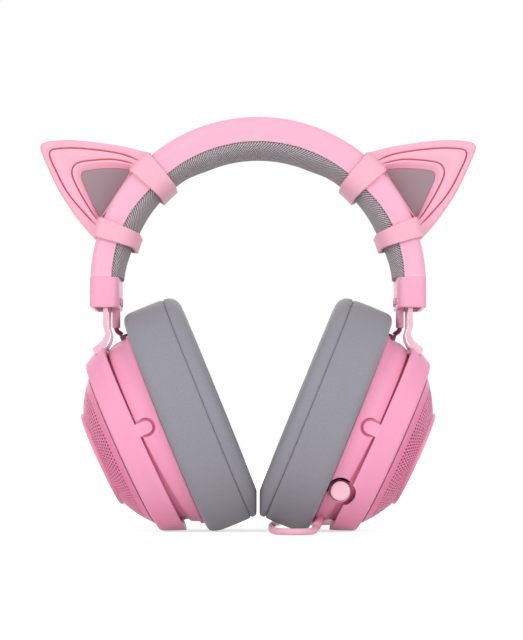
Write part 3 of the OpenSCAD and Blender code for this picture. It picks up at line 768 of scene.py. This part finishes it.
# Ear panels: grey silicone inserts pressed into the windows of the ears, crowned a little on
# both faces.
panel_paint = surface("panel_silicone", srgb(160, 141, 147), 0.6, fine_scale=1600, drift=0.08, relief=0.00006,
                      rub=0.1)
for side, way in SIDES:
    centre = sum(window_loop, Vector((0, 0))) / len(window_loop)
    half_rows = [(1.02, 0), (1.02, 0.95), (0.97, 1.12), (0.8, 1.25), (0.5, 1.4), (0.2, 1.45)]
    rings = []
    for front, rows in ((-1, half_rows[::-1]), (1, half_rows[1:])):
        for scale, depth in rows:
            rings.append([(way * (centre.x + (point.x - centre.x) * scale), front * depth,
                           centre.y + (point.y - centre.y) * scale) for point in window_loop])
    panel = link_piece("ear_panel_insert_" + side, weave(rings, "capped"),
                       "ear_" + side, panel_paint)
    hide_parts("ear_panel_" + side)


# Yoke arms: two bent steel arms a side, painted pink, that slide in the end caps' guides and
# carry the outer ring.
arm_paint = surface("arm_paint", srgb(232, 176, 194), 0.22, fine_scale=1200, drift=0.05, relief=0.00001,
                    rub=0.5, Metallic=0.35, Coat_Weight=0.4, Coat_Roughness=0.12)
for side, way in SIDES:
    repaint("yoke_arms_" + side, arm_paint)


# Outer ring: an oval pink moulding on the arms that frames the grille. Its two tongues reach in
# over the housing and hold the pivot pins.
PIVOT = (46.8, 44.3)
RING_LEAN, CUP_LEAN = 24.5, 22.2
OVAL_STEPS, OVAL_POWER = 120, 2.12
GRILLE_MID = -3.5
cup_paint = surface("cup_paint", srgb(248, 165, 195), 0.36, fine_scale=1500, drift=0.05, Coat_Weight=0.08,
                    Coat_Roughness=0.35)


def in_cup(u, y, w, lean, way):
    turn = math.radians(lean)
    return (way * (PIVOT[0] + u * math.cos(turn) + w * math.sin(turn)), y,
            max(PIVOT[1] - u * math.sin(turn) + w * math.cos(turn), 0.05))


def oval_point(turn, wide, tall, power=OVAL_POWER):
    """Depth and height of a point on an oval that is a little squarer than an ellipse."""
    c, s = math.cos(turn), math.sin(turn)
    return (wide * math.copysign(abs(c) ** (2 / power), c),
            tall * math.copysign(abs(s) ** (2 / power), s))


def oval_ring(u, tall, wide, mid, lean, way, power=OVAL_POWER, steps=OVAL_STEPS):
    points = [oval_point(2 * math.pi * k / steps, wide, tall, power) for k in range(steps)]
    return [in_cup(u, y, mid + w, lean, way) for y, w in points]


def round_ring(u, radius, way, steps=OVAL_STEPS):
    return oval_ring(u, radius, radius, GRILLE_MID, RING_LEAN, way, 2, steps)


def cut_with(piece, cutters):
    """Cuts shapes out of a piece for good and drops the shapes."""
    for cutter in cutters:
        cut = piece.modifiers.new("cut", "BOOLEAN")
        cut.operation = "DIFFERENCE"
        cut.solver = "EXACT"
        cut.object = cutter
    made = baked(piece)
    piece.modifiers.clear()
    piece.data = made
    for cutter in cutters:
        bpy.data.objects.remove(cutter)


def loose(name, mesh):
    piece = bpy.data.objects.new(name, mesh)
    scene.collection.objects.link(piece)
    return piece


def cup_circle(u, w, y, radius, lean, way, steps=40):
    """A circle round a place in the cup's own frame, square to the pivot axis."""
    return [in_cup(u + radius * math.cos(2 * math.pi * k / steps), y,
                   w + radius * math.sin(2 * math.pi * k / steps), lean, way) for k in range(steps)]


def rod_mesh(u, w, y0, y1, radius, lean, way):
    return weave([cup_circle(u, w, y, radius, lean, way) for y in (y0, y1)], "capped")


ring_rows = [(3.9, 38.9, 44.2, 35.1), (3.7, 39.3, 44.6, 35.6), (3.7, 41.8, 46.2, 37.1),
             (3.85, 42.1, 46.45, 37.35), (4.2, 42.2, 46.5, 37.5), (8, 40.1, 44.9, 37.3),
             (12.6, 37.6, 42.9, 36.9), (13.6, 37.1, 42.4, 36.7),
             (14, 36.7, 42, 36.45), (14.2, 36, 41.4, 36)]
ring_inside = [(11.6, 31.6, 38.4, 33.4), (10.5, 35.4, 41.2, 34.2), (5, 38.2, 43.6, 35)]
ring_mouth = [(14.55, 35.3), (14.5, 34.95), (14.1, 34.9), (12.6, 34.6), (12.5, 32)]
MIC_U, MIC_W = -1.3, -29.3
SCALLOPS = ((-60, -27.9, 4.7), (-28, -8, 5.1))
TONGUE_R = 2.8


def ring_section(u, top, bottom, wide, way):
    return oval_ring(u, (top + bottom) / 2, wide, (top - bottom) / 2, RING_LEAN, way)


for side, way in SIDES:
    rings = [ring_section(*row, way) for row in ring_rows]
    rings += [round_ring(u, radius, way) for u, radius in ring_mouth]
    rings += [ring_section(*row, way) for row in ring_inside]
    ring = link_piece("outer_ring_shell_" + side, weave(rings, "looped"),
                      "yoke_" + side, cup_paint)
    if side == "right":
        scallops = [rod_mesh(MIC_U, MIC_W, y0, y1, radius, CUP_LEAN - tilt, way)
                    for tilt in (0, 2, 4) for y0, y1, radius in SCALLOPS]
        cut_with(ring, [loose("scallop", scallop) for scallop in scallops])
    tongue_parts = []
    for end in (-1, 1):
        outline = []
        for k in range(25):
            turn = math.radians(-90 + 180 * k / 24)
            outline.append((-TONGUE_R * math.cos(turn), TONGUE_R * math.sin(turn)))
        outline += [(4.6, TONGUE_R), (4.6, -TONGUE_R)]
        rows = [(36.35, 1), (37.2, 1), (37.45, 0.96), (37.5, 0.88)]
        rings = [[in_cup(u * scale if u < 0 else u, end * y, w * scale, RING_LEAN, way) for u, w in outline]
                 for y, scale in rows]
        tongue_parts.append(weave(rings, "capped"))
    add_parts(ring, tongue_parts, [cup_paint])
    keep_edges(ring, 40)
    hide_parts("outer_ring_" + side)


# Pivot pins: plain steel pins through the ring's tongues into the housing's bosses. Each cup
# tilts on two of them.
screw_steel = surface("screw_steel", srgb(190, 188, 190), 0.25, Metallic=1.0)
for side, way in SIDES:
    repaint("pivot_pins_" + side, screw_steel)


# Grilles: domed pink steel sheet, punched with small staggered holes round its bare middle,
# over dark cloth.
DOME_R, DOME_FOOT, GRILLE_R, BADGE_R, SHEET = 52, 14.9, 34.6, 20.2, 0.6
GRILLE_ROWS, GRILLE_HOLES = 8, 120
grille_paint = surface("grille_paint", srgb(236, 136, 172), 0.3, fine_scale=1500, drift=0.04, relief=0.00001,
                       rub=0.3, Coat_Weight=0.06, Coat_Roughness=0.2)
grille_backing = surface("grille_cloth_dark", srgb(126, 52, 82), 0.95, fine_scale=4000, drift=0.2,
                         relief=0.0002, rub=0)
black_cloth = surface("speaker_cloth_black", srgb(46, 24, 34), 0.95, fine_scale=4000, drift=0.2,
                      relief=0.0002, rub=0)


def dome_point(radius, degrees, way):
    turn = math.radians(degrees)
    rise = DOME_FOOT + math.sqrt(DOME_R ** 2 - radius ** 2) - math.sqrt(DOME_R ** 2 - GRILLE_R ** 2)
    return in_cup(rise, radius * math.sin(turn), GRILLE_MID + radius * math.cos(turn), RING_LEAN, way)


def grille_mesh(way):
    """One sheet of cells, each a square with an eight-sided hole; every other row is staggered."""
    count = GRILLE_HOLES * 2
    step = 360 / count
    inner, outer = BADGE_R + 0.9, GRILLE_R - 2.8
    pitch = (outer - inner) / GRILLE_ROWS
    points, faces = [], []

    def ring_of(radius, shift=0):
        first = len(points)
        points.extend(dome_point(radius, (k + shift) * step, way) for k in range(count))
        return first

    edges = [ring_of(inner + pitch * row) for row in range(GRILLE_ROWS + 1)]
    mids = [ring_of(inner + pitch * (row + 0.5)) for row in range(GRILLE_ROWS)]
    for row in range(GRILLE_ROWS):
        low, high, mid = edges[row], edges[row + 1], mids[row]
        radius = inner + pitch * (row + 0.5)
        for cell in range(GRILLE_HOLES):
            a = 2 * cell + row % 2
            b, c = (a + 1) % count, (a + 2) % count
            a %= count
            border = [low + a, low + b, low + c, mid + c, high + c, high + b, high + a, mid + a]
            first = len(points)
            half_cell = min(0.4 * math.radians(2 * step) * radius, 0.57)
            for k in range(8):
                turn = math.radians(225 + 45 * k)
                points.append(dome_point(radius + 0.41 * pitch * math.sin(turn),
                                         (2 * cell + row % 2 + 1) * step
                                         + math.degrees(half_cell * math.cos(turn) / radius), way))
            for k in range(8):
                n = (k + 1) % 8
                faces.append((border[k], border[n], first + n, first + k))
    for last, radii in ((edges[0], (BADGE_R + 0.3, BADGE_R - 0.6)), (edges[-1], (GRILLE_R - 1.4, GRILLE_R))):
        for radius in radii:
            now = ring_of(radius)
            for k in range(count):
                n = (k + 1) % count
                faces.append((last + k, last + n, now + n, now + k))
            last = now
    mesh = bpy.data.meshes.new("sheet")
    mesh.from_pydata([tuple(v * MM for v in point) for point in points], [], faces)
    return mesh


for side, way in SIDES:
    sheet = face_out(grille_mesh(way))
    grille = link_piece("grille_sheet_" + side, sheet, "yoke_" + side, grille_paint)
    thicken = grille.modifiers.new("thickness", "SOLIDIFY")
    thicken.thickness = SHEET * MM
    thicken.offset = 0
    grille.data = baked(grille)
    grille.modifiers.clear()
    keep_edges(grille, 50)
    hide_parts("grille_" + side)
    repaint("grille_cloth_" + side, grille_backing)


# Badge discs: plain bare discs, rounded at the edge, that close the middle of each grille and
# carry no mark.
badge_paint = surface("badge_paint", srgb(246, 160, 190), 0.28, fine_scale=1300, drift=0.04, relief=0.00001,
                      Coat_Weight=0.08, Coat_Roughness=0.15)
badge_rows = [(21.5, 0.5), (21.5, 20.4), (22.4, 21.2), (22.9, 21.5), (24.6, 21.5), (24.95, 21.35),
              (25.15, 21), (25.2, 20.4), (25.05, 19.6), (25, 10), (25, 0.5)]
for side, way in SIDES:
    rings = [round_ring(u, radius, way, 96) for u, radius in badge_rows]
    badge = link_piece("badge_plate_" + side, weave(rings, "capped"),
                       "yoke_" + side, badge_paint)
    keep_edges(badge, 40)
    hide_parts("badge_disc_" + side)


# Inner housings: the pink shell of each cup. A bright band next to the pad, a chamfer down to the
# neck, a round recess front and rear for the ring's tongues, and on the right the mic's pocket.
grommet_rubber = surface("grommet_rubber", srgb(120, 46, 76), 0.6)
# The bosses, whose ends are the floors of the tongue recesses, are painted a darker pink: painted shade in
# the recesses.
recess_shade_paint = surface("recess_shade_paint", srgb(206, 104, 146), 0.45, fine_scale=1500, drift=0.05)
HOUSING_MID = -2.9
RECESS_R, BOSS_R, POCKET_R, PORT_R = 4.05, 4.7, 5.7, 4.9
housing_rows = [(7, 1, 1, 0), (7, 30, 26, 0), (6.4, 34.2, 29.4, 0), (3.5, 37, 31.8, 0), (-1.5, 39, 33.6, 0),
                (-5.8, 41.5, 36, 0), (-6.55, 42.3, 36.8, 0), (-6.6, 43.6, 38.1, 0), (-6.45, 43.9, 38.4, 0),
                (-6.1, 44, 38.5, 0), (-5.3, 43.9, 38.4, 0), (-5.15, 43.75, 38.2, 0), (-5, 43.2, 37.75, 0),
                (-4.8, 43, 37.6, 0.1), (-0.8, 42.6, 37.45, 0.85), (-0.4, 42.45, 37.35, 0.85),
                (2.8, 41.2, 36.35, 1), (3.1, 40.9, 36.1, 1), (3.15, 40.4, 35.6, 1), (3.2, 39.9, 34.7, 1),
                (5, 38.9, 33.8, 0.4), (7.2, 36.2, 31, 0), (7.9, 35.2, 30.2, 0), (8.1, 33.8, 29, 0),
                (8.1, 1, 1, 0)]


def housing_ring(u, tall, wide, follow, way):
    """Like an oval ring, but its skirt stays clear of the outer ring as the cup tilts."""
    ring = []
    for k in range(OVAL_STEPS):
        y, w = oval_point(2 * math.pi * k / OVAL_STEPS, wide, tall)
        w += HOUSING_MID
        slide = 0.03 * w if w > 0 else 0.1 * w
        ring.append(in_cup(u + follow * slide, y, w, CUP_LEAN, way))
    return ring


for side, way in SIDES:
    rings = [housing_ring(u, tall, wide, follow, way) for u, tall, wide, follow in housing_rows]
    shell = link_piece("housing_shell_" + side, weave(rings, "capped"),
                       "cup_" + side, cup_paint)
    cutters = [loose("recess", rod_mesh(0, 0, end * 35, end * 45, RECESS_R, CUP_LEAN, way))
               for end in (-1, 1)]
    if side == "right":
        cutters += [loose("port", rod_mesh(MIC_U, MIC_W, -60, end, radius, CUP_LEAN, way))
                    for end, radius in ((-27.6, POCKET_R), (-14, PORT_R))]
    cut_with(shell, cutters)
    bosses = [rod_mesh(0, 0, end * 30, end * 36.2, BOSS_R, CUP_LEAN, way) for end in (-1, 1)]
    # The bosses take the darker pink of the painted recess shade.
    add_parts(shell, bosses, [cup_paint, recess_shade_paint])
    keep_edges(shell, 32)
    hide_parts("inner_housing_" + side)
    repaint("cable_grommet_" + side, grommet_rubber)


# Baffles and speakers: black plastic, steel magnets and grey membranes behind dark cloth, seen
# only through the pads' openings and the grilles' holes.
baffle_plastic = surface("baffle_plastic", srgb(38, 36, 38), 0.6)
magnet_steel = surface("magnet_steel", srgb(140, 140, 144), 0.3, Metallic=1.0)
membrane = surface("membrane", srgb(60, 60, 66), 0.35, fine_scale=500)
for side, way in SIDES:
    for part, paint in (("driver_baffle_", baffle_plastic), ("speaker_frame_", baffle_plastic),
                        ("speaker_diaphragm_", membrane), ("speaker_magnet_", magnet_steel),
                        ("speaker_cloth_", black_cloth)):
        repaint(part + side, paint)


# Ear pads: memory foam in sewn grey leatherette. A seam runs round 5 mm behind the face; the
# face cushion swells past it and turns in to the opening.
def leather_material(name, colour, dark):
    paint, tree, shader = new_material(name)
    where = add_node(tree, "TexCoord").outputs["Object"]
    cells = add_node(tree, "TexVoronoi", Scale=900, Vector=where)
    cells.feature = "DISTANCE_TO_EDGE"
    creases = add_node(tree, "MapRange", Value=cells.outputs["Distance"], From_Max=0.18).outputs[0]
    soft = noise_node(tree, 60, 4, where)
    grain = place_group(tree, grain_group, Colour=colour, Fine_scale=2600, Drift=0.05, Roughness=0.5)
    shade = mix_colour(tree, creases, dark, grain.outputs["Colour"])
    fill(tree, shader, Base_Color=mix_colour(tree, 0.12, grain.outputs["Colour"], shade),
         Roughness=grain.outputs["Roughness"], Specular_IOR_Level=0.15, Sheen_Weight=0.15)
    bump(tree, math_node(tree, "ADD", creases, math_node(tree, "MULTIPLY", soft, 3)), 0.12, 0.0001)
    return paint


pad_paint = leather_material("pad_leatherette", srgb(150, 149, 156), srgb(100, 98, 105))
stitch_paint = surface("pad_stitch", srgb(92, 90, 98), 0.8, fine_scale=3000, rub=0)
PAD_MID, PAD_STEPS = -1.3, 240
PAD_WIDE, PAD_TALL = 43, 51.2
OPENING_WIDE, OPENING_TALL = 27, 33
SEAM, SEAM_AT, SEAM_SPREAD = (-25.9, 0.055), -26, 1.6
PUCKERS, PUCKER = 56, 0.003
pad_rows = [(-8, 1), (-6.9, 0.9), (-6.75, 0.5), (-6.7, 0.26), (-6.85, 0.17), (-7.4, 0.09), (-8.4, 0.035),
            (-10, 0.006), (-12, 0), (-16, -0.005), (-20, -0.005), (-22.8, 0), (-24.8, 0.01), (-25.6, 0.026),
            SEAM, (-26.05, 0.055), (-26.3, 0.024), (-27, 0.014), (-28.4, 0.024), (-29.8, 0.06),
            (-31, 0.12), (-31.9, 0.2), (-32.35, 0.29), (-32.5, 0.4), (-32.35, 0.53), (-31.7, 0.68),
            (-30.6, 0.81),
            (-29, 0.91), (-27, 0.965), (-24, 0.99), (-18, 1), (-12, 1)]
for side, way in SIDES:
    rings = []
    for u, depth in pad_rows:
        wide = PAD_WIDE - (PAD_WIDE - OPENING_WIDE) * depth
        tall = PAD_TALL - (PAD_TALL - OPENING_TALL) * depth
        near_seam = math.exp(-((u - SEAM_AT) / SEAM_SPREAD) ** 2)
        ring = []
        for k in range(PAD_STEPS):
            turn = 2 * math.pi * k / PAD_STEPS
            swell = 1 + PUCKER * near_seam * math.sin(PUCKERS * turn + 1.3 * math.sin(5 * turn))
            swell += PUCKER * math.sin(7 * turn + u * 0.2) * math.sin(3 * turn + 1)
            y, w = oval_point(turn, wide * swell, tall * swell)
            x, y, z = in_cup(u, y, PAD_MID + w, CUP_LEAN, way)
            ring.append((way * max(way * x, 0.6), y, max(z, 0.15)))
        rings.append(ring)
    pad = link_piece("ear_pad_cushion_" + side, weave(rings, "looped"),
                     "cup_" + side, pad_paint)
    pad.data.materials.append(stitch_paint)
    seam_row = pad_rows.index(SEAM)
    for face in pad.data.polygons:
        if {vertex // PAD_STEPS for vertex in face.vertices} == {seam_row, seam_row + 1}:
            face.material_index = 1
    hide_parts("ear_pad_" + side)


# Crossover cables: thin pink leads from the end caps down into the housings, coloured dark pink
# as painted shade for the shadow they hang in under the caps.
# Painted shade: the pink lead is coloured dark pink for the shadow it hangs in.
lead_shade_rubber = surface("crossover_shade_rubber", srgb(150, 62, 98), 0.5)
LEAD_X, LEAD_R, BEND_LONG = 61.9, 1.0, 1.8
for side, way in SIDES:
    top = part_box("crossover_cable_" + side)[1][2] / MM
    route = [Vector(p) for p in ((LEAD_X, 0, top), (LEAD_X, 0, 100), (LEAD_X, 0, 92), (61.95, -0.3, 88.5),
                                 (61.4, -0.4, 86.6), (60.2, -0.2, 85.7), (59.3, 0, 85))]
    smooth = []
    for k in range(len(route) - 1):
        p0, p1, p2, p3 = (route[max(min(i, len(route) - 1), 0)] for i in (k - 1, k, k + 1, k + 2))
        smooth += [spline_point(p0, p1, p2, p3, j / 8) for j in range(8)]
    smooth.append(route[-1])
    rings = []
    for k, point in enumerate(smooth):
        along = (smooth[min(k + 1, len(smooth) - 1)] - smooth[max(k - 1, 0)]).normalized()
        right = along.cross(Vector((0, 1, 0))).normalized()
        up = right.cross(along)
        ring = [point + (right * math.cos(math.pi * j / 8) + up * math.sin(math.pi * j / 8)) * LEAD_R
                for j in range(16)]
        rings.append([(way * p.x, p.y, p.z) for p in ring])
    lead = loose("crossover_lead_" + side, weave(rings, "capped"))
    lead.data.materials.append(lead_shade_rubber)
    for face in lead.data.polygons:
        face.use_smooth = True
    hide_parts("crossover_cable_" + side)
    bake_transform(lead)


# Microphone: a pink capped capsule on a thin black boom that pushes home into the right
# housing, with its ring round the port, its guide and its board inside.
mic_paint = surface("mic_cap", srgb(252, 196, 212), 0.42, fine_scale=1600, drift=0.03)
sleeve_rows = [(-27.4, 4.45), (-27.4, 4.75), (-27.2, 4.9), (-16, 4.9), (-16, 4.45)]


def mic_rings(rows):
    return [cup_circle(MIC_U, MIC_W, y, radius, CUP_LEAN, 1, 48) for y, radius in rows]


sleeve_mesh = weave(mic_rings(sleeve_rows), "looped")
sleeve = link_piece("mic_port_sleeve", sleeve_mesh, "cup_right", cup_paint)
keep_edges(sleeve, 40)
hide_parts("mic_port_ring")
repaint("mic_guide", acetal)
repaint("mic_boom", acetal)
repaint("mic_board", surface("mic_board_green", srgb(40, 92, 60), 0.4, fine_scale=700, drift=0.3))
head_rows = [(-21, 0.4), (-21, 3.9), (-21.4, 4.1), (-24, 4.15), (-32.1, 4.15), (-32.6, 4.02), (-32.9, 3.7),
             (-33, 3.2), (-32.95, 2.4), (-32.9, 0.4)]
mic_mesh = weave(mic_rings(head_rows), "capped")
mic = link_piece("mic_capsule", mic_mesh, "microphone", mic_paint)
keep_edges(mic, 40)
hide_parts("mic_head")


# Last call: brings the view layer up to date, which closes the scene.
bpy.context.view_layer.update()
